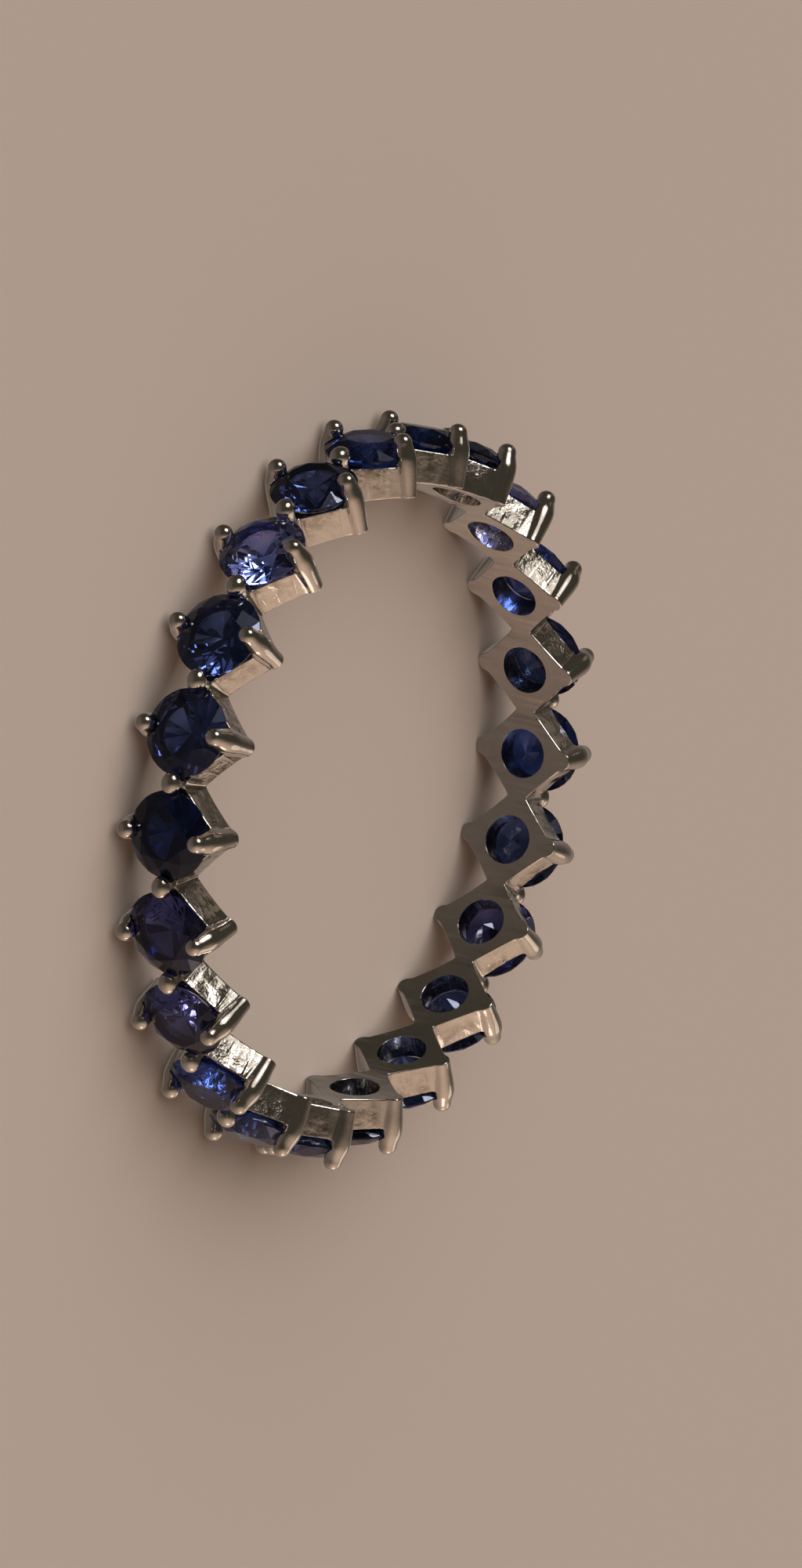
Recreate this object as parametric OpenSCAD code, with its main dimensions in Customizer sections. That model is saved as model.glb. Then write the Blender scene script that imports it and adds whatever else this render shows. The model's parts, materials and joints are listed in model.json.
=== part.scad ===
// Full eternity ring: round faceted stones all the way round, each in a square basket that
// stands on its corner. The ring lies on its side: its axis is +Z, the middle of the finger
// hole is over the origin, and the claw feet of one side stand on the plane z = 0.
// One setting is drawn with its stone looking along +X: X is the way out from the ring's
// axis, Y runs round the ring, and Z runs along the ring's axis.

/* [Ring] */
// Inside diameter of the ring, where the finger goes
finger_d = 16.9; // [16.5:0.1:17.3]
// Number of settings round the ring
settings = 22; // [21:1:23]
// Width of the ring from foot to foot, along its axis
ring_w = 2.99; // [2.95:0.01:3.05]

/* [Baskets] */
// Half side of a basket's square outside
basket_half = 1.08; // [1.05:0.01:1.10]
// Height of the basket's rim above the finger side
rim_h = 0.85; // [0.80:0.01:0.88]
// Diameter of the drilled opening under each stone
opening_d = 1.35; // [1.00:0.05:1.35]

/* [Claws] */
// Thickness of a side claw
claw_d = 0.56; // [0.50:0.02:0.60]
// How far a side claw leans in between its foot and its tip
claw_lean = 0.065; // [0.03:0.005:0.08]
// Height of a side claw's tip above the finger side
side_tip_h = 1.40; // [1.36:0.01:1.44]
// Diameter of a side claw's round tip
side_tip_d = 0.59; // [0.56:0.01:0.62]
// Thickness of the post that two neighbours share
post_d = 0.46; // [0.40:0.02:0.50]
// Height of a shared tip above the finger side
shared_tip_h = 1.31; // [1.28:0.01:1.34]
// Diameter of a shared post's round tip
shared_tip_d = 0.55; // [0.52:0.01:0.58]

/* [Stones] */
// Diameter of a stone
stone_d = 2.35; // [2.25:0.05:2.35]
// Height of the upper edge of the stone's girdle above the finger side
girdle_h = 1.095; // [1.08:0.005:1.12]
// Thickness of the girdle at its corners
girdle_t = 0.07; // [0.05:0.01:0.08]
// Height of the crown above the girdle
crown_h = 0.34; // [0.30:0.01:0.36]
// Depth of the pavilion below the girdle
pavilion_h = 0.855; // [0.80:0.005:0.88]
// Width of the table as a share of the stone's diameter
table_share = 0.56; // [0.52:0.01:0.60]
// Gap between a stone and the metal round it
seat_gap = 0.03; // [0.02:0.005:0.04]
// How far each stone is turned in its seat, past the one before it
stone_turn = 17; // [0:1:44]

/* [Hidden] */
stone_names = [for (i = [1:settings]) str("stone_", i < 10 ? "0" : "", i)];
$fn = 48;

pitch = 360 / settings;
finger_r = finger_d / 2;

// Radii from the ring's axis
girdle_r = finger_r + girdle_h;
side_tip_r = finger_r + side_tip_h;
shared_tip_r = finger_r + shared_tip_h;

// Places of the side claws along the ring's axis, from the middle
foot_z = ring_w / 2 - claw_d / 2;
tip_z = foot_z - claw_lean;
lean_angle = atan(claw_lean / side_tip_h);

// Basket outline: the square's corner distance, and where its corners are cut, a little
// past the middle of the claws and of the shared posts
past_claw = 0.15;
past_post = 0.12;
corner = basket_half * sqrt(2);
claw_cut = foot_z + past_claw;
post_cut = finger_r * tan(pitch / 2) + past_post;

// How far metal runs into the finger hole before that is cut
overrun = 0.3;

// Stone: its facet corners lie on five rings of points between the table and the culet.
// The half facets of the pavilion run from the girdle nearly to the culet.
mains = 8;
lower_share = 0.22;
girdle_n = 4 * mains;
main_step = 360 / mains;
girdle_step = 360 / girdle_n;
stone_r = stone_d / 2;
table_r = stone_r * table_share;
star_r = (table_r * cos(main_step / 2) + stone_r) / 2;
star_h = crown_h * (stone_r - star_r * cos(main_step / 2)) / (stone_r - table_r);
lower_r = lower_share * stone_r;
lower_h = -girdle_t - pavilion_h * (1 - lower_r * cos(main_step / 2) / stone_r);
culet_h = -girdle_t - pavilion_h;

function ring_point(r, a, h) = [r * cos(a), r * sin(a), h];

// Height at which the flat facet through three points passes over the point (x, y)
function facet_height(p, q, s, x, y) =
    let (n = cross(q - p, s - p))
    p[2] - (n[0] * (x - p[0]) + n[1] * (y - p[1])) / n[2];

// Height of girdle point j on the half facets that hang from the ring of corners (r, h).
// Even points sit at edge_h, and odd ones where the flat facet meets the round girdle.
function girdle_height(j, r, h, edge_h) =
    j % 2 == 0 ? edge_h :
    facet_height(ring_point(r, main_step / 2, h), ring_point(stone_r, 0, edge_h),
                 ring_point(stone_r, main_step / 2, edge_h),
                 stone_r * cos(girdle_step), stone_r * sin(girdle_step));

crown_points = concat(
    [for (i = [0:mains - 1]) ring_point(table_r, i * main_step, crown_h)],
    [for (i = [0:mains - 1]) ring_point(star_r, (i + 0.5) * main_step, star_h)],
    [for (j = [0:girdle_n - 1])
        ring_point(stone_r, j * girdle_step, girdle_height(j, star_r, star_h, 0))]);
pavilion_points = concat(
    [for (j = [0:girdle_n - 1])
        ring_point(stone_r, j * girdle_step,
                   girdle_height(j, lower_r, lower_h, -girdle_t))],
    [for (i = [0:mains - 1]) ring_point(lower_r, (i + 0.5) * main_step, lower_h)],
    [[0, 0, culet_h]]);

// Numbers of the points in each ring
function table_pt(i) = i % mains;
function star_pt(i) = mains + (i + mains) % mains;
function top_pt(j) = 2 * mains + (j + girdle_n) % girdle_n;
function low_pt(j) = 2 * mains + girdle_n + (j + girdle_n) % girdle_n;
function lower_pt(i) = 2 * mains + 2 * girdle_n + (i + mains) % mains;
culet_pt = 3 * mains + 2 * girdle_n;

crown_faces = concat(
    [[for (i = [mains - 1:-1:0]) table_pt(i)]],
    [for (i = [0:mains - 1]) [table_pt(i), table_pt(i + 1), star_pt(i)]],
    [for (i = [0:mains - 1]) [table_pt(i), star_pt(i), top_pt(4 * i), star_pt(i - 1)]],
    [for (i = [0:mains - 1]) for (half = [0, 2])
        [star_pt(i), top_pt(4 * i + half + 2), top_pt(4 * i + half + 1), top_pt(4 * i + half)]]);
girdle_faces = [for (j = [0:girdle_n - 1]) [top_pt(j), top_pt(j + 1), low_pt(j + 1), low_pt(j)]];
pavilion_faces = concat(
    [for (i = [0:mains - 1]) for (half = [0, 2])
        [lower_pt(i), low_pt(4 * i + half), low_pt(4 * i + half + 1), low_pt(4 * i + half + 2)]],
    [for (i = [0:mains - 1]) [culet_pt, lower_pt(i - 1), low_pt(4 * i), lower_pt(i)]]);

// Puts its children in setting number n, counted from 0, and lifts the ring onto its side.
// The first setting is half a pitch past +X, and half numbers are the places between two.
module at_setting(n) {
    translate([0, 0, ring_w / 2]) rotate([0, 0, (n + 0.5) * pitch]) children();
}

// Turns a shape drawn along +Z so that it runs outwards along +X from radius r
module outwards(r) {
    translate([r, 0, 0]) rotate([90, 0, 90]) children();
}

// Brilliant cut stone with its table outwards
module stone(n) {
    color("midnightblue")
    at_setting(n) outwards(girdle_r) rotate([0, 0, n * stone_turn])
        polyhedron(points = concat(crown_points, pavilion_points),
                   faces = concat(crown_faces, girdle_faces, pavilion_faces), convexity = 2);
}

// Space that a stone and the drilled opening under it take out of the metal
module seat_space() {
    wall_r = opening_d / 2;
    slope = (-girdle_t - lower_h) / (stone_r - lower_r);
    meet_h = -girdle_t - slope * (stone_r + seat_gap - wall_r);
    outwards(girdle_r) rotate_extrude()
        polygon([
            [0, -girdle_h - overrun],
            [wall_r, -girdle_h - overrun],
            [wall_r, meet_h],
            [stone_r + seat_gap, -girdle_t],
            [stone_r + seat_gap, 0],
            [star_r + seat_gap, star_h + seat_gap],
            [table_r + seat_gap, crown_h + seat_gap],
            [0, crown_h + seat_gap]]);
}

// Square basket on its corner, from inside the finger hole up to the rim
module basket() {
    outwards(finger_r - overrun) linear_extrude(height = rim_h + overrun)
        polygon([
            [post_cut, corner - post_cut], [corner - claw_cut, claw_cut],
            [claw_cut - corner, claw_cut], [-post_cut, corner - post_cut],
            [-post_cut, post_cut - corner], [claw_cut - corner, -claw_cut],
            [corner - claw_cut, -claw_cut], [post_cut, post_cut - corner]]);
}

// Claw at a side corner: a round bar that leans in towards the stone, with a round tip
module side_claw(side) {
    translate([side_tip_r, 0, side * tip_z]) {
        rotate([0, side * lean_angle - 90, 0])
            cylinder(d = claw_d, h = side_tip_h + overrun);
        sphere(d = side_tip_d);
    }
}

// Post at the corner where two baskets meet, with one round tip that holds both stones
module shared_post() {
    outwards(finger_r - overrun) cylinder(d = post_d, h = shared_tip_h + overrun);
    translate([shared_tip_r, 0, 0]) sphere(d = shared_tip_d);
}

// All the metal, soldered into one piece
module band() {
    color("gainsboro")
    difference() {
        union() {
            for (n = [0:settings - 1]) {
                at_setting(n) {
                    basket();
                    side_claw(1);
                    side_claw(-1);
                }
                at_setting(n + 0.5) shared_post();
            }
        }
        for (n = [0:settings - 1]) at_setting(n) seat_space();
        translate([0, 0, -ring_w / 2]) cylinder(r = finger_r, h = 2 * ring_w, $fn = 180);
    }
}

band();
for (n = [0:settings - 1])
    stone(n);
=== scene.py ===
"""Looks of a full eternity ring: polished white gold baskets round dark blue cut stones.

The ring lies on its side on a pale floor. Its axis is +Z, and the middle of its finger hole is
over the origin. One setting is described with its stone looking outwards: "out" is the height
above the finger side, "along" runs round the ring, and "side" runs along the ring's axis from
its middle plane. The metal is worked out in millimetres and put into its mesh in metres.
"""

import json
import logging
import math
from dataclasses import dataclass
from enum import Enum
from itertools import product

import bpy
import numpy as np
from mathutils import Matrix, Vector


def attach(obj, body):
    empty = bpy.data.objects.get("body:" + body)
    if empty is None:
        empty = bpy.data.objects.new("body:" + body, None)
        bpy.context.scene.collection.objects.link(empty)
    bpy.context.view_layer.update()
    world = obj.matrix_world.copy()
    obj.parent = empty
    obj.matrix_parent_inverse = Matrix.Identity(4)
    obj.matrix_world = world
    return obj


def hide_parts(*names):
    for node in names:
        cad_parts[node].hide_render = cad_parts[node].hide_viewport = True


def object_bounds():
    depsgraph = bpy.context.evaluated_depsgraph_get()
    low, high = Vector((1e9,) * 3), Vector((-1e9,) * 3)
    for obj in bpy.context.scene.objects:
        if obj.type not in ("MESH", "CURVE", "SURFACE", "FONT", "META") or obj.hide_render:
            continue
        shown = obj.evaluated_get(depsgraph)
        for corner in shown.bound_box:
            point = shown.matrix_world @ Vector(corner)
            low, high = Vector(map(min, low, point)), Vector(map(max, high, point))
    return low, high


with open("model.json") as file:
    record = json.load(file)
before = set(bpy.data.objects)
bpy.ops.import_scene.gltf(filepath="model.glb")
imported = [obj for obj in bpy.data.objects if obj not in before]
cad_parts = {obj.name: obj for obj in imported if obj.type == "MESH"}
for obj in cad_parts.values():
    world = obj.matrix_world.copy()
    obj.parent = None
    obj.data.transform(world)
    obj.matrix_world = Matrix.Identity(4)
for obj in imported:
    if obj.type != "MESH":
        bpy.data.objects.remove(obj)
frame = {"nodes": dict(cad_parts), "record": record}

CAD_BOX = [list(corner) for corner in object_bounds()]
MM = 0.001
LOG = logging.getLogger("ring")

Triple = tuple[float, float, float]
Colour = tuple[float, float, float]
Range = tuple[float, float]
Feed = float | Triple | bpy.types.NodeSocket


def blend(first: np.ndarray, second: np.ndarray, width: float) -> np.ndarray:
    """Joins two distances with a fillet: their minimum, lowered by a parabola where they are close.

    Args:
        first: signed distances to one shape, negative inside it.
        second: signed distances to the other shape.
        width: how far apart the two distances still influence each other.

    Returns:
        Signed distances to both shapes together.
    """
    share = np.clip(0.5 + 0.5 * (second - first) / width, 0.0, 1.0)
    return second + (first - second) * share - width * share * (1.0 - share)


def smooth_step(value: np.ndarray) -> np.ndarray:
    """Smooth step from 0 to 1: three times the square less twice the cube, held at its ends."""
    value = np.clip(value, 0.0, 1.0)
    return value * value * (3.0 - 2.0 * value)


def unit(vectors: np.ndarray) -> np.ndarray:
    """Vectors along the last axis, brought to length one, or left at zero."""
    tiny = 1e-12
    return vectors / np.maximum(np.linalg.norm(vectors, axis=-1, keepdims=True), tiny)


def to_straight(grid: np.ndarray) -> np.ndarray:
    """Turns radius, angle and side, in the last axis, into x, y and z."""
    radius, angle, side = grid[..., 0], grid[..., 1], grid[..., 2]
    return np.stack([radius * np.cos(angle), radius * np.sin(angle), side], axis=-1)


def edge_ends(field: np.ndarray, axis: int) -> tuple[np.ndarray, np.ndarray]:
    """Looks up a field at both ends of each grid edge that runs along one axis.

    Args:
        field: one value for each point of the grid.
        axis: the edges' axis.

    Returns:
        The values at the lower ends and those at the upper ends.
    """
    size = field.shape[axis]
    low = np.take(field, np.arange(0, size - 1), axis=axis)
    high = np.take(field, np.arange(1, size), axis=axis)
    return low, high


@dataclass(frozen=True)
class MetalForm:
    """The ring's metal as a signed distance, in millimetres.

    The finger hole, the width, the number of settings and the outer size come from the frame.
    The other fields are the sizes of one setting.
    """

    # Ring: radius of its finger side, width, number of settings, and radius over the claw tips
    finger_r: float
    ring_w: float
    settings: int
    outer_r: float
    # Basket: half the side of its square, height of its rim, radius of its drilled opening, how
    # far inside the ring's sides and how far past the shared posts its corners are cut, and how
    # much lower its walls are in their middle
    basket_half: float = 1.08
    rim_h: float = 0.85
    opening_r: float = 0.675
    side_cut: float = 0.13
    past_post: float = 0.12
    wall_hollow: float = 0.045
    # Side claw: radii of foot, shoulder and tip, height of its shoulder, how far its tip leans
    # and bends in, and how often the nearest place on its middle line is found more closely
    foot_r: float = 0.25
    shoulder_r: float = 0.33
    side_tip_r: float = 0.25
    shoulder_h: float = 1.00
    claw_lean: float = 0.092
    claw_bend: float = 0.078
    line_steps: int = 3
    # Shared post: its radius, and the height, radius and stretch of its ball tip
    post_r: float = 0.23
    shared_tip_h: float = 1.31
    shared_tip_r: float = 0.265
    shared_tip_stretch: float = 1.18
    # Seat: radius of the stone, height and thickness of its girdle, height of its crown, width of
    # its table as a share of its own, slope of its pavilion, and the gap round it
    stone_r: float = 1.175
    girdle_h: float = 1.095
    girdle_t: float = 0.07
    crown_h: float = 0.34
    table_share: float = 0.56
    pavilion_slope: float = 0.743
    seat_gap: float = 0.015
    # Widths of the fillets between two parts, and of the rounding along an edge
    fillet: float = 0.07
    edge: float = 0.035

    @property
    def pitch(self) -> float:
        """Angle between two settings, in radians."""
        return 2.0 * math.pi / self.settings

    @property
    def side_tip_h(self) -> float:
        """Height of a side claw's tip above the finger side, to the middle of its round end."""
        return self.outer_r - self.finger_r - self.side_tip_r

    def distance(self, points: np.ndarray) -> np.ndarray:
        """Signed distance from points to the metal's surface.

        The ring is the same in each half setting, so the angle is folded into one half of one
        setting, and the side is taken without its sign. The first setting's stone is half a
        pitch past +X. The metal is the fillet-joined union of the basket, the side claw and the
        shared post, of this setting and of the next one. The stones' seats, the drilled openings
        and the finger hole are then cut out of it.

        Args:
            points: places as rows of x, y and z, with z from the ring's middle plane.

        Returns:
            One distance for each point, negative inside the metal.
        """
        radius, angle, side = self._folded(points)
        metal = self._shared_post(radius, angle - self.pitch / 2.0, side)
        space = radius - self.finger_r
        for turn in (0.0, self.pitch):
            out = radius * np.cos(angle - turn) - self.finger_r
            along = np.abs(radius * np.sin(angle - turn))
            metal = blend(metal, self._basket(out, along, side), self.fillet)
            metal = blend(metal, self._side_claw(out, along, side), self.fillet)
            space = np.minimum(space, self._seat(out - self.girdle_h, np.hypot(along, side)))
        return -blend(-metal, space, self.edge)

    def polished_distance(self, points: np.ndarray) -> np.ndarray:
        """Distance from points to what is polished well: the claws, the posts, the finger side.

        Args:
            points: places as rows of x, y and z, with z from the ring's middle plane.

        Returns:
            One distance for each point, to the nearest of these.
        """
        radius, angle, side = self._folded(points)
        claw = self._side_claw(radius * np.cos(angle) - self.finger_r, radius * np.sin(angle), side)
        post = self._shared_post(radius, angle - self.pitch / 2.0, side)
        return np.minimum(np.minimum(claw, post), radius - self.finger_r)

    def _folded(self, points: np.ndarray) -> tuple[np.ndarray, np.ndarray, np.ndarray]:
        """Radius, angle from the middle of the nearest setting, and side, both without sign."""
        angle = np.arctan2(points[:, 1], points[:, 0]) % self.pitch - self.pitch / 2.0
        return np.hypot(points[:, 0], points[:, 1]), np.abs(angle), np.abs(points[:, 2])

    def _basket(self, out: np.ndarray, along: np.ndarray, side: np.ndarray) -> np.ndarray:
        """Square standing on its corner, with its corners cut, up to the rim.

        Its walls are a little hollow, as cast and filed walls are: each is lower in its middle
        by a parabola, along its length.

        Args:
            out: heights above the finger side.
            along: distances round the ring from the setting's middle, without sign.
            side: distances from the ring's middle plane, without sign.

        Returns:
            Signed distances to the basket.
        """
        corner = self.basket_half * math.sqrt(2.0)
        claw_cut = self.ring_w / 2.0 - self.side_cut
        post_cut = self.finger_r * math.tan(self.pitch / 2.0) + self.past_post
        off_middle = np.clip((side - along) / corner, -1.0, 1.0)
        hollow = self.wall_hollow * (1.0 - off_middle ** 2)
        outline = np.maximum((along + side - corner) / math.sqrt(2.0) + hollow,
                             np.maximum(side - claw_cut, along - post_cut))
        return -blend(-outline, self.rim_h - out, self.edge)

    def _side_claw(self, out: np.ndarray, along: np.ndarray, side: np.ndarray) -> np.ndarray:
        """Claw that widens from its foot to its shoulder, bends in and narrows to a round tip.

        Its middle line leans in evenly and bends in with the square of the height. The distance
        is the one to the nearest place on this line, less a thickness that grows smoothly up to
        the shoulder and shrinks smoothly from there to the tip. The nearest place is found by
        stepping along the line's own direction a few times.

        Args:
            out: heights above the finger side.
            along: distances round the ring from the setting's middle.
            side: distances from the ring's middle plane, without sign.

        Returns:
            Signed distances to the claw.
        """
        height = self.side_tip_h
        share = np.clip(out / height, 0.0, 1.0)
        for _ in range(self.line_steps):
            turn = (self.claw_lean + 2.0 * share * self.claw_bend) / height
            ahead = out - share * height - self._off_line(side, share) * turn
            share = np.clip(share + ahead / (height * (1.0 + turn ** 2)), 0.0, 1.0)
        grown = smooth_step(share * height / self.shoulder_h)
        shrunk = smooth_step((share * height - self.shoulder_h) / (height - self.shoulder_h))
        thick = (self.foot_r + (self.shoulder_r - self.foot_r) * grown
                 - (self.shoulder_r - self.side_tip_r) * shrunk)
        off = self._off_line(side, share)
        return np.sqrt((out - share * height) ** 2 + along ** 2 + off ** 2) - thick

    def _off_line(self, side: np.ndarray, share: np.ndarray) -> np.ndarray:
        """How far a side is outside a side claw's middle line, at a share of its height."""
        inward = self.foot_r + share * (self.claw_lean + share * self.claw_bend)
        return side - self.ring_w / 2.0 + inward

    def _shared_post(self, radius: np.ndarray, angle: np.ndarray, side: np.ndarray) -> np.ndarray:
        """Straight post between two baskets, with a ball tip that is drawn out round the ring.

        Args:
            radius: distances from the ring's axis.
            angle: angles from the post, in radians.
            side: distances from the ring's middle plane, without sign.

        Returns:
            Signed distances to the post and its tip.
        """
        out = radius * np.cos(angle) - self.finger_r
        along = radius * np.sin(angle)
        bar = np.maximum(np.hypot(along, side) - self.post_r, out - self.shared_tip_h)
        ball = np.hypot(np.hypot(along / self.shared_tip_stretch, side),
                        out - self.shared_tip_h) - self.shared_tip_r
        return blend(bar, ball, self.edge)

    def _seat(self, height: np.ndarray, off: np.ndarray) -> np.ndarray:
        """Space of a stone and of the drilled opening under it, turned about the stone's axis.

        The stone's space is a cone below its girdle, a cylinder round it, a blunt cone above it
        and a flat top over the table. The opening is a cylinder.

        Args:
            height: heights above the upper edge of the girdle.
            off: distances from the stone's axis.

        Returns:
            Signed distances to this space, negative inside it.
        """
        wall = self.stone_r + self.seat_gap
        table = self.stone_r * self.table_share
        crown_run = self.stone_r - table
        cone = -self.girdle_t - self.pavilion_slope * (wall - off) - height
        crown = height * crown_run - self.crown_h * (wall - off)
        stone = np.maximum(
            np.maximum(cone / math.hypot(1.0, self.pavilion_slope), off - wall),
            np.maximum(crown / math.hypot(crown_run, self.crown_h),
                       height - self.crown_h - self.seat_gap))
        drill = np.maximum(off - self.opening_r, height)
        return np.minimum(stone, drill)


@dataclass(frozen=True)
class Shell:
    """A surface as plain arrays: places in millimetres, and the corners of four-sided faces."""

    places: np.ndarray
    faces: np.ndarray


@dataclass
class Metalwork:
    """The soldered metal of the whole ring, as one polished piece.

    Its surface is found on a grid over one setting, in radius, angle and side. In each cell that
    the surface crosses stands one point, and each grid edge that the surface crosses gives one
    four-sided face between the points of the cells round that edge.
    """

    form: MetalForm
    # Grid: number of planes in radius, angle and side, and how far it reaches past the metal
    planes: tuple[int, int, int] = (58, 85, 98)
    margin: float = 0.06
    # Settling: its rounds, the step for measuring a slope, the least squared slope that counts,
    # and the longest move in one round
    settle_rounds: int = 4
    slope_step: float = 0.002
    least_slope: float = 0.25
    longest_move: float = 0.02
    # Thinning: about how many triangles are left
    triangles: int = 188_000
    # Normals: the least cosine at which a point's normal still agrees with its face, and, where
    # it does not, how far inside the face the normal is taken, as a share of the way to its middle
    flat_limit: float = 0.90
    inset: float = 0.25
    # Masks: the distance at which they are full
    mask_reach: float = 0.22

    @property
    def lift(self) -> np.ndarray:
        """Way from the ring's middle plane to where the ring lies on the floor."""
        return np.array([0.0, 0.0, self.form.ring_w / 2.0])

    def build(self) -> bpy.types.Object:
        """Makes the ring's metal, with its masks and exact normals.

        Returns:
            The mesh object, at the origin.
        """
        shell = self._whole_ring(self._one_setting())
        piece = self._thinned(self._mesh_object("band_metal", shell))
        self._settle_mesh(piece.data)
        return piece

    def dress(self, piece: bpy.types.Object, marks: bpy.types.NodeTree) -> None:
        """Gives the metal its finish, with the group of handling marks."""
        piece.data.materials.append(WhiteGold().build(marks))

    def _grid(self) -> list[np.ndarray]:
        """Spreads the grid's planes evenly over one setting.

        Returns:
            The radii, the angles and the sides of the planes.
        """
        form = self.form
        half_width = form.ring_w / 2.0 + self.margin
        lows = (form.finger_r - self.margin, 0.0, -half_width)
        highs = (form.outer_r + self.margin, form.pitch, half_width)
        return [np.linspace(*ends) for ends in zip(lows, highs, self.planes)]

    def _one_setting(self) -> Shell:
        """Surface of one setting: a point for each crossed cell, a face for each crossed edge.

        A cell's point is the mean of the places where the surface crosses the cell's edges. A
        face's corner is a pair: the number of its point, and -1 where that point belongs to the
        setting before this one, or else 0. The last angle is the next setting's first one, so
        the field is made the same on both.

        Returns:
            The points of one setting, and its faces with such pairs as corners.
        """
        planes = self._grid()
        grid = np.stack(np.meshgrid(*planes, indexing="ij"), axis=-1)
        field = self.form.distance(to_straight(grid).reshape(-1, 3)).reshape(grid.shape[:3])
        field[:, -1] = field[:, 0]
        total, count = self._crossings(field)
        active = count > 0
        number = np.full(active.shape, -1)
        number[active] = np.arange(active.sum())
        spot = np.argwhere(active) + total[active] / count[active][:, None]
        steps = np.array([plane[1] - plane[0] for plane in planes])
        starts = np.array([plane[0] for plane in planes])
        places = to_straight(starts + spot * steps)
        faces = [self._faces(axis, field, number) for axis in range(3)]
        return Shell(self._settled(places), np.concatenate(faces))

    def _crossings(self, field: np.ndarray) -> tuple[np.ndarray, np.ndarray]:
        """Adds up, for each cell, the places where the surface crosses the cell's edges.

        Each place is found by linear interpolation between the edge's two ends, and is counted
        in cell lengths from the cell's first corner.

        Args:
            field: signed distances at the grid's points.

        Returns:
            The sum of the places in each cell, and how many they are.
        """
        total = np.zeros(tuple(size - 1 for size in field.shape) + (3,))
        count = np.zeros(total.shape[:3])
        for axis in range(3):
            low, high = edge_ends(field, axis)
            crossed = (low < 0) != (high < 0)
            part = np.where(crossed, low / np.where(crossed, low - high, 1.0), 0.0)
            near, far = (axis + 1) % 3, (axis + 2) % 3
            for step_near, step_far in product((0, 1), repeat=2):
                window = [slice(0, size) for size in count.shape]
                window[near] = slice(step_near, step_near + count.shape[near])
                window[far] = slice(step_far, step_far + count.shape[far])
                here = crossed[tuple(window)]
                total[..., axis] += part[tuple(window)] * here
                total[..., near] += step_near * here
                total[..., far] += step_far * here
                count += here
        return total, count

    def _faces(self, axis: int, field: np.ndarray, number: np.ndarray) -> np.ndarray:
        """Faces across the grid edges that run along one axis, looking out of the metal.

        Args:
            axis: the edges' axis.
            field: signed distances at the grid's points.
            number: each cell's point number.

        Returns:
            An array of faces, corners, and (point number, setting shift).
        """
        near, far = (axis + 1) % 3, (axis + 2) % 3
        low, high = edge_ends(field, axis)
        edge = np.argwhere((low < 0) != (high < 0))
        edge = edge[edge[:, 1] < number.shape[1]]
        around = np.array([[-1, -1], [0, -1], [0, 0], [-1, 0]])
        corners = np.repeat(edge[:, None, :], len(around), axis=1)
        corners[:, :, near] += around[:, 0]
        corners[:, :, far] += around[:, 1]
        shift = np.where(corners[..., 1] < 0, -1, 0)
        corners[..., 1] %= number.shape[1]
        points = number[corners[..., 0], corners[..., 1], corners[..., 2]]
        backwards = ~(low < 0)[tuple(edge.T)]
        points[backwards] = points[backwards][:, ::-1]
        shift[backwards] = shift[backwards][:, ::-1]
        return np.stack([points, shift], axis=-1)

    def _whole_ring(self, setting: Shell) -> Shell:
        """Repeats one setting round the ring, with the points at its ends shared.

        Args:
            setting: the surface of the first setting, with pairs as corners.

        Returns:
            The surface of the whole ring, with point numbers as corners.
        """
        form = self.form
        turns = np.arange(form.settings)
        angle = turns * form.pitch
        x, y, z = setting.places.T
        places = np.stack([np.outer(np.cos(angle), x) - np.outer(np.sin(angle), y),
                           np.outer(np.sin(angle), x) + np.outer(np.cos(angle), y),
                           np.broadcast_to(z, (form.settings, len(z)))], axis=-1)
        owner = (turns[:, None, None] + setting.faces[..., 1]) % form.settings
        faces = setting.faces[..., 0] + owner * len(x)
        return Shell(places.reshape(-1, 3), faces.reshape(-1, 4))

    def _slope(self, places: np.ndarray) -> np.ndarray:
        """Direction in which the distance grows, from four samples at a tetrahedron's corners.

        Args:
            places: places as rows of x, y and z, with z from the ring's middle plane.

        Returns:
            A vector for each place, as long as the distance grows in a millimetre.
        """
        ways = np.array([[1, 1, 1], [1, -1, -1], [-1, 1, -1], [-1, -1, 1]], float)
        step = self.slope_step
        samples = [self.form.distance(places + step * way)[:, None] * way for way in ways]
        return sum(samples) / (len(ways) * step)

    def _settled(self, places: np.ndarray) -> np.ndarray:
        """Moves points onto the surface, each along the slope by its distance over the slope.

        Args:
            places: places close to the surface, as rows of x, y and z.

        Returns:
            The places on the surface.
        """
        limit = self.longest_move
        for _ in range(self.settle_rounds):
            slope = self._slope(places)
            size = np.maximum((slope ** 2).sum(axis=1), self.least_slope)
            move = self.form.distance(places) / size
            places = places - slope * np.clip(move, -limit, limit)[:, None]
        return places

    def _lifted(self, places: np.ndarray) -> np.ndarray:
        """Places on the floor in metres, as one row of numbers for a mesh."""
        return ((places + self.lift) * MM).astype(np.float32).ravel()

    def _mesh_object(self, name: str, shell: Shell) -> bpy.types.Object:
        """Puts a shell into a mesh object, in metres, lifted onto the floor.

        Args:
            name: the name of the object and of its mesh.
            shell: the surface, with point numbers as corners.

        Returns:
            The object, linked to the scene.
        """
        faces, corners = shell.faces.shape
        mesh = bpy.data.meshes.new(name)
        mesh.vertices.add(len(shell.places))
        mesh.vertices.foreach_set("co", self._lifted(shell.places))
        mesh.loops.add(shell.faces.size)
        mesh.loops.foreach_set("vertex_index", shell.faces.astype(np.int32).ravel())
        mesh.polygons.add(faces)
        mesh.polygons.foreach_set("loop_start", np.arange(faces, dtype=np.int32) * corners)
        mesh.update(calc_edges=True)
        mesh.validate()
        piece = bpy.data.objects.new(name, mesh)
        bpy.context.scene.collection.objects.link(piece)
        return piece

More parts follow.
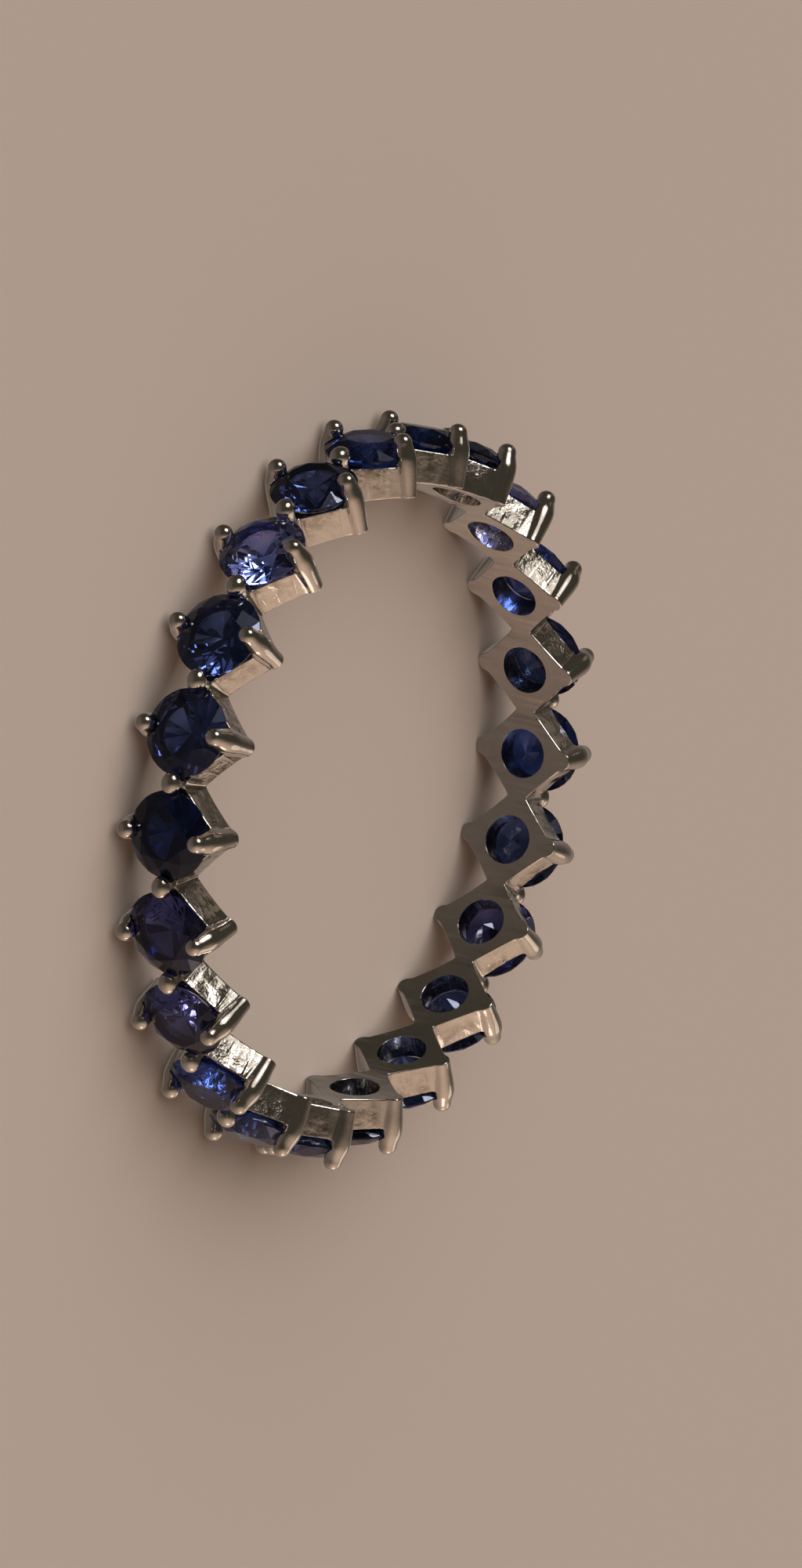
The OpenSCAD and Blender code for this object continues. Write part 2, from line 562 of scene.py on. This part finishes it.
    def _thinned(self, dense: bpy.types.Object) -> bpy.types.Object:
        """Thins a dense mesh where it is flat, so that the whole ring stays light.

        Args:
            dense: the object with four-sided faces, each of which counts as two triangles.

        Returns:
            The same object, with a mesh of triangles.
        """
        modifier = dense.modifiers.new("thin", "DECIMATE")
        modifier.ratio = self.triangles / (2.0 * len(dense.data.polygons))
        modifier.use_collapse_triangulate = True
        evaluated = dense.evaluated_get(bpy.context.evaluated_depsgraph_get())
        thin = bpy.data.meshes.new_from_object(evaluated)
        dense.modifiers.clear()
        old, dense.data = dense.data, thin
        bpy.data.meshes.remove(old)
        return dense

    def _settle_mesh(self, mesh: bpy.types.Mesh) -> None:
        """Settles a thinned mesh on the true surface, and adds the surface's normals and masks.

        Args:
            mesh: the mesh of triangles, in metres.
        """
        raw = np.empty(len(mesh.vertices) * 3, np.float32)
        mesh.vertices.foreach_get("co", raw)
        places = self._settled(raw.reshape(-1, 3).astype(float) / MM - self.lift)
        mesh.vertices.foreach_set("co", self._lifted(places))
        mesh.update()
        normals = unit(self._slope(places))
        mesh.polygons.foreach_set("use_smooth", np.ones(len(mesh.polygons), bool))
        mesh.normals_split_custom_set(self._corner_normals(mesh, places, normals))
        self._write_masks(mesh, places, normals)

    def _corner_normals(self, mesh: bpy.types.Mesh, places: np.ndarray,
                        normals: np.ndarray) -> np.ndarray:
        """Normals at the corners of the faces.

        A corner takes the normal at its point. Where that is far from the face's own direction,
        beside a sharp edge, it takes the normal a little way into the face instead.

        Args:
            mesh: the mesh of triangles.
            places: its points, in millimetres.
            normals: the surface's normals at its points.

        Returns:
            One normal for each corner, as rows.
        """
        corners = np.empty(len(mesh.loops), np.int32)
        mesh.loops.foreach_get("vertex_index", corners)
        corners = corners.reshape(-1, 3)
        triangle = places[corners]
        flat = unit(np.cross(triangle[:, 1] - triangle[:, 0], triangle[:, 2] - triangle[:, 0]))
        inner = triangle + self.inset * (triangle.mean(axis=1, keepdims=True) - triangle)
        inner_normals = unit(self._slope(inner.reshape(-1, 3))).reshape(inner.shape)
        at_points = normals[corners]
        near = (at_points * flat[:, None]).sum(axis=-1) > self.flat_limit
        return np.where(near[..., None], at_points, inner_normals).reshape(-1, 3)

    def _write_masks(self, mesh: bpy.types.Mesh, places: np.ndarray, normals: np.ndarray) -> None:
        """Writes two masks: "corner", how deep a point lies in a groove, and "cast".

        The first is the share of a short way out of the metal that the distance falls short by, and
        it drives the painted shade in the grooves.
        The second is 1 on the baskets' walls, which are polished less than the rest.

        Args:
            mesh: the mesh that gets the attributes.
            places: its points, in millimetres.
            normals: their normals.
        """
        open_way = self.form.distance(places + self.mask_reach * normals) / self.mask_reach
        for name, value in (("corner", 1.0 - open_way),
                            ("cast", self.form.polished_distance(places) / self.mask_reach)):
            mask = mesh.attributes.new(name, "FLOAT", "POINT")
            mask.data.foreach_set("value", np.clip(value, 0.0, 1.0).astype(np.float32))


class Graph:
    """A node tree that is filled by short calls."""

    def __init__(self, tree: bpy.types.NodeTree) -> None:
        """Takes the tree that is to be filled."""
        self.tree = tree

    def add(self, kind: str, inputs: dict[str | int, Feed] | None = None,
            **options: object) -> bpy.types.Node:
        """Adds a node, sets its options, and sets or joins its inputs.

        Args:
            kind: the node's type without its "ShaderNode".
            inputs: a constant or a socket for each input, by name or number.
            options: the node's own settings.

        Returns:
            The new node.
        """
        node = self.tree.nodes.new("ShaderNode" + kind)
        for name, value in options.items():
            setattr(node, name, value)
        for key, value in (inputs or {}).items():
            self.feed(node.inputs[key], value)
        return node

    def feed(self, socket: bpy.types.NodeSocket, value: Feed) -> None:
        """Sets a socket to a constant, or joins another socket to it.

        Args:
            socket: the input that is fed.
            value: a number, a colour, a vector, or a socket that gives one.
        """
        if isinstance(value, bpy.types.NodeSocket):
            self.tree.links.new(value, socket)
        elif socket.type == "RGBA":
            socket.default_value = (*value, 1.0)
        else:
            socket.default_value = value

    def use(self, group: bpy.types.NodeTree, inputs: dict[str, Feed]) -> bpy.types.Node:
        """Places a node group, with its own values."""
        return self.add("Group", inputs, node_tree=group)

    def mask(self, name: str) -> bpy.types.NodeSocket:
        """Value of a mask that the mesh carries."""
        return self.add("Attribute", attribute_name=name).outputs["Fac"]

    def noise(self, place: Feed, scale: Feed, detail: float,
              roughness: float = 0.5) -> bpy.types.NodeSocket:
        """Value of a soft noise at a place.

        Args:
            place: the place, as a vector.
            scale: how often the noise changes in a metre.
            detail: how many finer layers it has.
            roughness: how strong the finer layers are.

        Returns:
            The noise, between 0 and 1 and mostly near its middle.
        """
        return self.add("TexNoise", {"Vector": place, "Scale": scale, "Detail": detail,
                                     "Roughness": roughness}).outputs[0]

    def maths(self, operation: str, first: Feed, second: Feed = 0.0) -> bpy.types.NodeSocket:
        """Result of a sum, product or other operation on two values."""
        return self.add("Math", {0: first, 1: second}, operation=operation).outputs[0]

    def between(self, factor: Feed, first: Feed, second: Feed) -> bpy.types.NodeSocket:
        """Mixes two colours. The node's inputs 6 and 7 and its output 2 are the ones for colours.

        Args:
            factor: the share of the second colour.
            first: the colour at 0.
            second: the colour at 1.

        Returns:
            The mixed colour.
        """
        mix = self.add("Mix", {0: factor, 6: first, 7: second}, data_type="RGBA")
        return mix.outputs[2]

    def stretch(self, value: Feed, low: float, high: float, to_low: float = 0.0,
                to_high: float = 1.0) -> bpy.types.NodeSocket:
        """Carries a value smoothly from one range to another, and holds it at the ends.

        Args:
            value: the value.
            low: start of its range.
            high: end of its range.
            to_low: result at the start.
            to_high: result at the end.

        Returns:
            The value in the new range.
        """
        ramp = self.add("MapRange", {0: value, 1: low, 2: high, 3: to_low, 4: to_high},
                        interpolation_type="SMOOTHSTEP")
        return ramp.outputs[0]

    def along(self, vector: Feed, way: Triple) -> bpy.types.NodeSocket:
        """Length of a vector along a fixed direction."""
        return self.add("VectorMath", {0: vector, 1: way}, operation="DOT_PRODUCT").outputs[1]


def new_group(name: str, inputs: dict[str, str], outputs: dict[str, str]
              ) -> tuple[Graph, bpy.types.Node, bpy.types.Node]:
    """Makes an empty shader node group with its sockets.

    Args:
        name: the group's name.
        inputs: each input's name and kind, such as Float, Color or Vector.
        outputs: the same for the outputs.

    Returns:
        The group's graph, the node that gives its inputs, and the node that takes its outputs.
    """
    tree = bpy.data.node_groups.new(name, "ShaderNodeTree")
    for sockets, way in ((inputs, "INPUT"), (outputs, "OUTPUT")):
        for socket, kind in sockets.items():
            tree.interface.new_socket(socket, in_out=way, socket_type="NodeSocket" + kind)
    return Graph(tree), tree.nodes.new("NodeGroupInput"), tree.nodes.new("NodeGroupOutput")


def new_material(name: str) -> tuple[bpy.types.Material, Graph, bpy.types.Node]:
    """Makes an empty material.

    Args:
        name: the material's name.

    Returns:
        The material, its graph and its output node.
    """
    material = bpy.data.materials.new(name)
    material.use_nodes = True
    material.node_tree.nodes.clear()
    graph = Graph(material.node_tree)
    return material, graph, graph.add("OutputMaterial")


@dataclass(frozen=True)
class HandlingMarks:
    """What use leaves on a polished surface: soft clouds, hairlines and fine specks.

    Clouds are coarse noise. Hairlines are the places where a noise that is stretched along the
    ring's axis passes its middle value, and their run is how fast it changes along x, y and z.
    Specks are the peaks of a fine noise. A rate is how many come in the breadth of a cloud.
    """

    cloud_detail: float = 3.0
    cloud_roughness: float = 0.55
    hairline_detail: float = 2.0
    hairline_rate: float = 9.0
    hairline_run: Triple = (1.0, 1.0, 0.12)
    hairline_middle: float = 0.5
    hairline_breadth: float = 0.03
    speck_detail: float = 1.0
    speck_rate: float = 14.0
    speck_range: Range = (0.68, 0.76)

    def build(self) -> bpy.types.NodeTree:
        """Makes the node group. Its Size is the breadth of the clouds, in metres.

        Returns:
            The group, with Clouds, Hairlines and Specks as outputs.
        """
        graph, given, made = new_group(
            "handling marks", {"Vector": "Vector", "Size": "Float"},
            {"Clouds": "Float", "Hairlines": "Float", "Specks": "Float"})
        place = given.outputs["Vector"]
        across = graph.maths("DIVIDE", 1.0, given.outputs["Size"])
        clouds = graph.noise(place, across, self.cloud_detail, self.cloud_roughness)
        longer = graph.add("VectorMath", {0: place, 1: self.hairline_run}, operation="MULTIPLY")
        streaks = graph.noise(longer.outputs[0],
                              graph.maths("MULTIPLY", across, self.hairline_rate),
                              self.hairline_detail)
        off = graph.maths("ABSOLUTE", graph.maths("SUBTRACT", streaks, self.hairline_middle))
        dots = graph.noise(place, graph.maths("MULTIPLY", across, self.speck_rate),
                           self.speck_detail)
        graph.feed(made.inputs["Clouds"], clouds)
        graph.feed(made.inputs["Hairlines"],
                   graph.stretch(off, 0.0, self.hairline_breadth, 1.0, 0.0))
        graph.feed(made.inputs["Specks"], graph.stretch(dots, *self.speck_range))
        return graph.tree


@dataclass(frozen=True)
class GrowthZones:
    """A crystal's colour zones: straight bands of growth, blurred into clouds.

    The bands are a sine along a slanting direction, pushed about by coarse noise. The noise
    decides how strongly they show.
    """

    slant: Triple = (0.62, 0.48, 0.62)
    cloud_detail: float = 2.0
    cloud_rate: float = 0.6
    push: float = 7.0
    band_swing: float = 0.35
    band_middle: float = 0.5
    show_range: Range = (0.30, 0.68)

    def build(self) -> bpy.types.NodeTree:
        """Makes the node group. Its Step is the distance between two bands, in metres.

        Returns:
            The group, with a Colour between its Deep and its Light one as output.
        """
        graph, given, made = new_group(
            "growth zones", {"Vector": "Vector", "Step": "Float", "Deep": "Color",
                             "Light": "Color"}, {"Colour": "Color"})
        place = given.outputs["Vector"]
        across = graph.maths("DIVIDE", 1.0, given.outputs["Step"])
        clouds = graph.noise(place, graph.maths("MULTIPLY", across, self.cloud_rate),
                             self.cloud_detail)
        turns = graph.maths("MULTIPLY", graph.along(place, self.slant),
                            graph.maths("MULTIPLY", across, 2.0 * math.pi))
        pushed = graph.maths("ADD", turns, graph.maths("MULTIPLY", clouds, self.push))
        bands = graph.add("Math", {0: graph.maths("SINE", pushed), 1: self.band_swing,
                                   2: self.band_middle}, operation="MULTIPLY_ADD")
        share = graph.maths("MULTIPLY", bands.outputs[0], graph.stretch(clouds, *self.show_range))
        zoned = graph.between(share, given.outputs["Deep"], given.outputs["Light"])
        graph.feed(made.inputs["Colour"], zoned)
        return graph.tree


@dataclass(frozen=True)
class WhiteGold:
    """Polished white gold, a little duller in its grooves, where painted shade also darkens its
    colour.

    Its patches lie where the clouds of its handling marks are strong. They show in full on the
    baskets' walls, and by a small share on the claws, the posts and the finger side.
    """

    face: Colour = (0.89, 0.86, 0.83)
    patch: Colour = (0.56, 0.51, 0.465)
    patch_range: Range = (0.38, 0.66)
    tip_share: float = 0.12
    # painted shade: the colour that the base colour darkens to in the grooves, in place of shade
    # falling there
    groove_shade: Colour = (0.30, 0.26, 0.22)
    groove_range: Range = (0.15, 0.95)
    roughness: float = 0.075
    groove_roughness: float = 0.30
    hairline_roughness: float = 0.10
    speck_roughness: float = 0.12
    marks_size: float = 0.45 * MM
    marks_height: float = 0.065 * MM
    hairline_depth: float = 0.01

    def build(self, marks: bpy.types.NodeTree) -> bpy.types.Material:
        """Makes the material.

        Args:
            marks: the group of handling marks.

        Returns:
            The finished material.
        """
        material, graph, end = new_material("white gold")
        place = graph.add("TexCoord").outputs["Object"]
        wear = graph.use(marks, {"Vector": place, "Size": self.marks_size}).outputs
        # painted shade: how far the colour darkens towards the shade colour in the grooves; the
        # same share also roughens them
        deep = graph.stretch(graph.mask("corner"), *self.groove_range)
        uneven = graph.stretch(graph.mask("cast"), 0.0, 1.0, self.tip_share, 1.0)
        patches = graph.maths("MULTIPLY", graph.stretch(wear["Clouds"], *self.patch_range), uneven)
        face = graph.between(patches, self.face, self.patch)
        marked = graph.maths("MULTIPLY", wear["Hairlines"], self.hairline_roughness)
        dotted = graph.maths("MULTIPLY", wear["Specks"], self.speck_roughness)
        rough = graph.maths("ADD", self.roughness, graph.maths("ADD", marked, dotted))
        grooved = graph.maths("MULTIPLY", deep, self.groove_roughness)
        scratches = graph.maths("MULTIPLY", wear["Hairlines"], self.hairline_depth)
        height = graph.maths("SUBTRACT", wear["Clouds"], scratches)
        bump = graph.add("Bump", {"Strength": 1.0, "Distance": self.marks_height,
                                  "Height": graph.maths("MULTIPLY", height, uneven)})
        # the base colour carries the painted shade in the grooves
        shader = graph.add("BsdfPrincipled", {
            "Base Color": graph.between(deep, face, self.groove_shade), "Metallic": 1.0,
            "Roughness": graph.maths("ADD", rough, grooved), "Normal": bump.outputs[0]})
        graph.feed(end.inputs["Surface"], shader.outputs[0])
        return material


@dataclass(frozen=True)
class Tone:
    """A blue: its deep colour, its light colour, and how strongly it absorbs light."""

    deep: Colour
    light: Colour
    density: float


class StoneTone(Enum):
    """How a stone's blue leans."""

    INK = Tone((0.002, 0.005, 0.014), (0.070, 0.190, 0.600), 540.0)
    NAVY = Tone((0.030, 0.054, 0.150), (0.185, 0.270, 0.600), 300.0)
    ROYAL = Tone((0.030, 0.065, 0.260), (0.120, 0.210, 0.680), 230.0)
    PLUM = Tone((0.064, 0.070, 0.190), (0.225, 0.232, 0.520), 300.0)
    LILAC = Tone((0.085, 0.160, 0.720), (0.820, 0.780, 1.000), 28.0)


@dataclass(frozen=True)
class Sapphire:
    """Clear cut sapphire in one tone of blue, with soft zones of colour inside."""

    tone: StoneTone
    index: float = 1.77
    roughness: float = 0.030
    hairline_roughness: float = 0.02
    clear_share: float = 0.985
    zone_step: float = 0.9 * MM
    wear_size: float = 0.5 * MM
    body: Colour = (0.08, 0.18, 0.74)
    mirror_tint: Colour = (0.50, 0.56, 0.80)

    def build(self, zones: bpy.types.NodeTree, marks: bpy.types.NodeTree) -> bpy.types.Material:
        """Makes the material.

        Args:
            zones: the group of growth zones.
            marks: the group of handling marks.

        Returns:
            The finished material.
        """
        tone = self.tone.value
        material, graph, end = new_material("sapphire " + self.tone.name.lower())
        place = graph.add("TexCoord").outputs["Object"]
        zoned = graph.use(zones, {"Vector": place, "Step": self.zone_step, "Deep": tone.deep,
                                  "Light": tone.light})
        wear = graph.use(marks, {"Vector": place, "Size": self.wear_size})
        marked = graph.maths("MULTIPLY", wear.outputs["Hairlines"], self.hairline_roughness)
        shader = graph.add("BsdfPrincipled", {
            "Base Color": zoned.outputs["Colour"], "Metallic": 0.0,
            "Roughness": graph.maths("ADD", self.roughness, marked), "IOR": self.index,
            "Specular Tint": self.mirror_tint, "Transmission Weight": self.clear_share})
        inside = graph.add("VolumeAbsorption", {"Color": self.body, "Density": tone.density})
        graph.feed(end.inputs["Surface"], shader.outputs[0])
        graph.feed(end.inputs["Volume"], inside.outputs[0])
        return material


@dataclass
class StoneRow:
    """The cut stones, in the order of their numbers, each with the tone that the ring shows."""

    tones: tuple[StoneTone, ...] = (
        StoneTone.NAVY, StoneTone.INK, StoneTone.NAVY, StoneTone.NAVY, StoneTone.PLUM,
        StoneTone.NAVY, StoneTone.ROYAL, StoneTone.NAVY, StoneTone.ROYAL, StoneTone.LILAC,
        StoneTone.NAVY, StoneTone.INK, StoneTone.ROYAL, StoneTone.NAVY, StoneTone.LILAC,
        StoneTone.NAVY, StoneTone.NAVY, StoneTone.INK, StoneTone.PLUM, StoneTone.PLUM,
        StoneTone.ROYAL, StoneTone.NAVY)

    def dress(self, nodes: dict[str, bpy.types.Object], marks: bpy.types.NodeTree
              ) -> dict[str, StoneTone]:
        """Gives each stone of the frame its material.

        Args:
            nodes: the frame's objects, by name.
            marks: the group of handling marks.

        Returns:
            The tone of each stone, by name.
        """
        zones = GrowthZones().build()
        finishes = {tone: Sapphire(tone).build(zones, marks) for tone in StoneTone}
        names = sorted(name for name in nodes if name.startswith("stone_"))
        shown = {name: self.tones[number % len(self.tones)] for number, name in enumerate(names)}
        for name, tone in shown.items():
            mesh = nodes[name].data
            mesh.materials.clear()
            mesh.materials.append(finishes[tone])
        return shown


class Reach(Enum):
    """Which surfaces a lamp acts on, as whether it lights matt ones and shows in shiny ones."""

    ALL = (True, True)
    MATT = (True, False)
    SHINY = (False, True)


@dataclass(frozen=True)
class Light:
    """A round, distant lamp, so that it looks the same from everywhere on the stage.

    It is seen in one direction, as an evenly bright disc with a radius in degrees.
    """

    name: str
    towards: Triple
    radius_deg: float
    brightness: float
    colour: Colour
    reach: Reach = Reach.ALL
    stand_off: float = 0.5

    def build(self) -> bpy.types.Object:
        """Makes the lamp. Its strength is its brightness times the sky that it covers.

        Returns:
            The lamp's object. Its place is only a mark, because its light comes from far away.
        """
        half = math.radians(self.radius_deg)
        data = bpy.data.lights.new(self.name, "SUN")
        data.angle = 2.0 * half
        data.energy = self.brightness * math.pi * math.sin(half) ** 2
        data.color = self.colour
        lamp = bpy.data.objects.new(self.name, data)
        lamp.rotation_mode = "QUATERNION"
        lamp.rotation_quaternion = Vector(self.towards).to_track_quat("Z", "Y")
        lamp.location = Vector(self.towards) * self.stand_off
        lamp.visible_camera = False
        lamp.visible_diffuse, lamp.visible_glossy = self.reach.value
        lamp.visible_transmission = lamp.visible_glossy
        bpy.context.scene.collection.objects.link(lamp)
        return lamp


@dataclass(frozen=True)
class View:
    """The photograph's view of the ring, with lengths in metres and angles in degrees.

    The camera looks at a place near the ring's axis, and is turned about its own line of sight.
    Its azimuth is counted from -Y towards +X, and its lens is a focal length in millimetres.
    """

    aim: Triple = (-0.428 * MM, 0.477 * MM, 2.370 * MM)
    azimuth: float = 3.156
    elevation: float = 29.747
    roll: float = -102.282
    distance: float = 272.44 * MM
    lens: float = 233.88
    clip: Range = (0.01, 20.0)

    def build(self) -> bpy.types.Object:
        """Makes the camera and makes it the scene's own.

        Returns:
            The camera's object.
        """
        round_z, up = math.radians(self.azimuth), math.radians(self.elevation)
        back = Vector((math.sin(round_z) * math.cos(up), -math.cos(round_z) * math.cos(up),
                       math.sin(up)))
        upright = back.to_track_quat("Z", "Y").to_matrix()
        turn = Matrix.Rotation(-math.radians(self.roll), 3, "Z")
        data = bpy.data.cameras.new("view")
        data.lens = self.lens
        data.clip_start, data.clip_end = self.clip
        camera = bpy.data.objects.new("view", data)
        camera.matrix_world = (Matrix.Translation(Vector(self.aim) + back * self.distance)
                               @ (upright @ turn).to_4x4())
        bpy.context.scene.collection.objects.link(camera)
        bpy.context.scene.camera = camera
        return camera


@dataclass(frozen=True)
class PaleFloor:
    """Matt finish of the floor."""

    colour: Colour = (0.515, 0.425, 0.372)

    def build(self) -> bpy.types.Material:
        """Makes the material.

        Returns:
            The finished material.
        """
        material, graph, end = new_material("pale floor")
        pale = graph.add("BsdfDiffuse", {"Color": self.colour})
        graph.feed(end.inputs["Surface"], pale.outputs[0])
        return material


@dataclass
class Floor:
    """Flat round floor under the ring, with lengths in metres. The ring doesn't mirror it."""

    radius: float = 3.0
    rings: int = 24
    spokes: int = 64

    def build(self) -> bpy.types.Object:
        """Makes the floor, as a part of the stage.

        The radius grows as the square of its step, so the floor is finest at the ring. Triangles
        join the middle point to the first ring of points, and four-sided faces join each ring of
        points to the next one.

        Returns:
            The floor's object.
        """
        step = np.linspace(0.0, 1.0, self.rings + 1)[1:]
        turn = np.linspace(0.0, 2.0 * math.pi, self.spokes, endpoint=False)
        radius = self.radius * step[:, None] ** 2
        rim = np.stack([radius * np.cos(turn), radius * np.sin(turn), np.zeros_like(radius * turn)],
                       axis=-1).reshape(-1, 3)
        spoke = np.arange(self.spokes)
        after = (spoke + 1) % self.spokes
        inner = (np.arange(self.rings - 1) * self.spokes)[:, None] + 1
        outer = inner + self.spokes
        quads = np.stack([inner + spoke, outer + spoke, outer + after, inner + after],
                         axis=-1).reshape(-1, 4)
        middle = np.stack([np.zeros_like(spoke), spoke + 1, after + 1], axis=-1)
        mesh = bpy.data.meshes.new("floor")
        mesh.from_pydata(np.vstack([np.zeros((1, 3)), rim]).tolist(), [],
                         middle.tolist() + quads.tolist())
        mesh.materials.append(PaleFloor().build())
        floor = bpy.data.objects.new("floor", mesh)
        floor.visible_glossy = floor.visible_transmission = False
        bpy.context.scene.collection.objects.link(floor)
        return floor


@dataclass(frozen=True)
class Sky:
    """Sky that is dark on one side and warm on the other, with a pale backdrop for the camera.

    In the picture the way up is nearly -X. The sky is dark that way and warm the other way. A
    range says between which lengths along its direction one colour goes over into the next.
    """

    picture_down: Triple = (0.970, 0.159, 0.185)
    down_range: Range = (0.02, 1.10)
    picture_depth: Triple = (-0.048, 0.867, -0.496)
    depth_range: Range = (0.45, 1.00)
    picture_right: Triple = (-0.239, 0.472, 0.848)
    right_range: Range = (-0.80, 0.35)
    near_corner: Triple = (0.250, -0.450, -0.857)
    near_range: Range = (0.20, 1.00)
    dark: Colour = (0.040, 0.035, 0.026)
    near: Colour = (0.105, 0.082, 0.066)
    behind: Colour = (0.20, 0.165, 0.14)
    warm_left: Colour = (0.26, 0.18, 0.14)
    warm_right: Colour = (0.58, 0.415, 0.305)
    backdrop: Colour = (0.45, 0.345, 0.285)

    def build(self) -> bpy.types.World:
        """Makes the sky and makes it the scene's own.

        Returns:
            The world that holds it.
        """
        world = bpy.data.worlds.new("room")
        world.use_nodes = True
        world.node_tree.nodes.clear()
        graph = Graph(world.node_tree)
        way = graph.add("TexCoord").outputs["Generated"]
        deep = graph.stretch(graph.along(way, self.picture_depth), *self.depth_range)
        low = graph.stretch(graph.along(way, self.picture_down), *self.down_range)
        close = graph.stretch(graph.along(way, self.near_corner), *self.near_range)
        across = graph.stretch(graph.along(way, self.picture_right), *self.right_range)
        unlit = graph.between(close, self.dark, self.near)
        far = graph.between(deep, unlit, self.behind)
        lit = graph.between(low, far, graph.between(across, self.warm_left, self.warm_right))
        shown = graph.between(graph.add("LightPath").outputs["Is Camera Ray"], lit, self.backdrop)
        sky = graph.add("Background", {"Color": shown, "Strength": 1.0})
        graph.feed(graph.add("OutputWorld").inputs["Surface"], sky.outputs[0])
        bpy.context.scene.world = world
        return world


@dataclass
class Studio:
    """Everything round the ring: a pale floor, soft lights, a sky and the camera."""

    lamps: tuple[Light, ...] = (
        Light("key", (-0.77, -0.30, 0.56), 9.5, 10.0, (1.0, 0.95, 0.88), Reach.SHINY),
        Light("low fill", (0.91, 0.35, 0.21), 11.0, 0.9, (1.0, 0.78, 0.64)),
        Light("back glint", (0.35, 0.75, 0.55), 14.0, 0.40, (1.0, 0.85, 0.71), Reach.SHINY),
        Light("brown glow", (-0.78, 0.53, 0.32), 10.0, 0.12, (1.0, 0.76, 0.58), Reach.SHINY),
        Light("key glow", (-0.77, -0.30, 0.56), 21.0, 0.7, (1.0, 0.90, 0.78), Reach.SHINY),
        Light("floor light", (-0.62, -0.36, 0.70), 42.0, 2.05, (1.0, 0.97, 0.93), Reach.MATT))

    def build(self) -> None:
        """Makes the floor, the lamps, the sky and the camera."""
        Floor().build()
        for lamp in self.lamps:
            lamp.build()
        Sky().build()
        View().build()


def main() -> None:
    """Sets the stage, dresses the stones and builds the ring's metal."""
    logging.basicConfig(level=logging.INFO, format="%(name)s: %(message)s")
    bpy.context.scene.view_settings.view_transform = "Standard"
    Studio().build()
    marks = HandlingMarks().build()
    stones = StoneRow().dress(frame["nodes"], marks)
    for name, tone in stones.items():
        LOG.info("%s: %s sapphire", name, tone.name.lower())
    hole = frame["record"]["mounts"][0]["dims"]
    form = MetalForm(finger_r=hole["r_mm"], ring_w=hole["length_mm"], settings=len(stones),
                     outer_r=max(CAD_BOX[1]) / MM)
    metalwork = Metalwork(form)
    metal = metalwork.build()
    metalwork.dress(metal, marks)
    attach(metal, "root")
    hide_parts("band")
    LOG.info("%s: %d triangles", metal.name, len(metal.data.polygons))


if __name__ == "__main__":
    main()
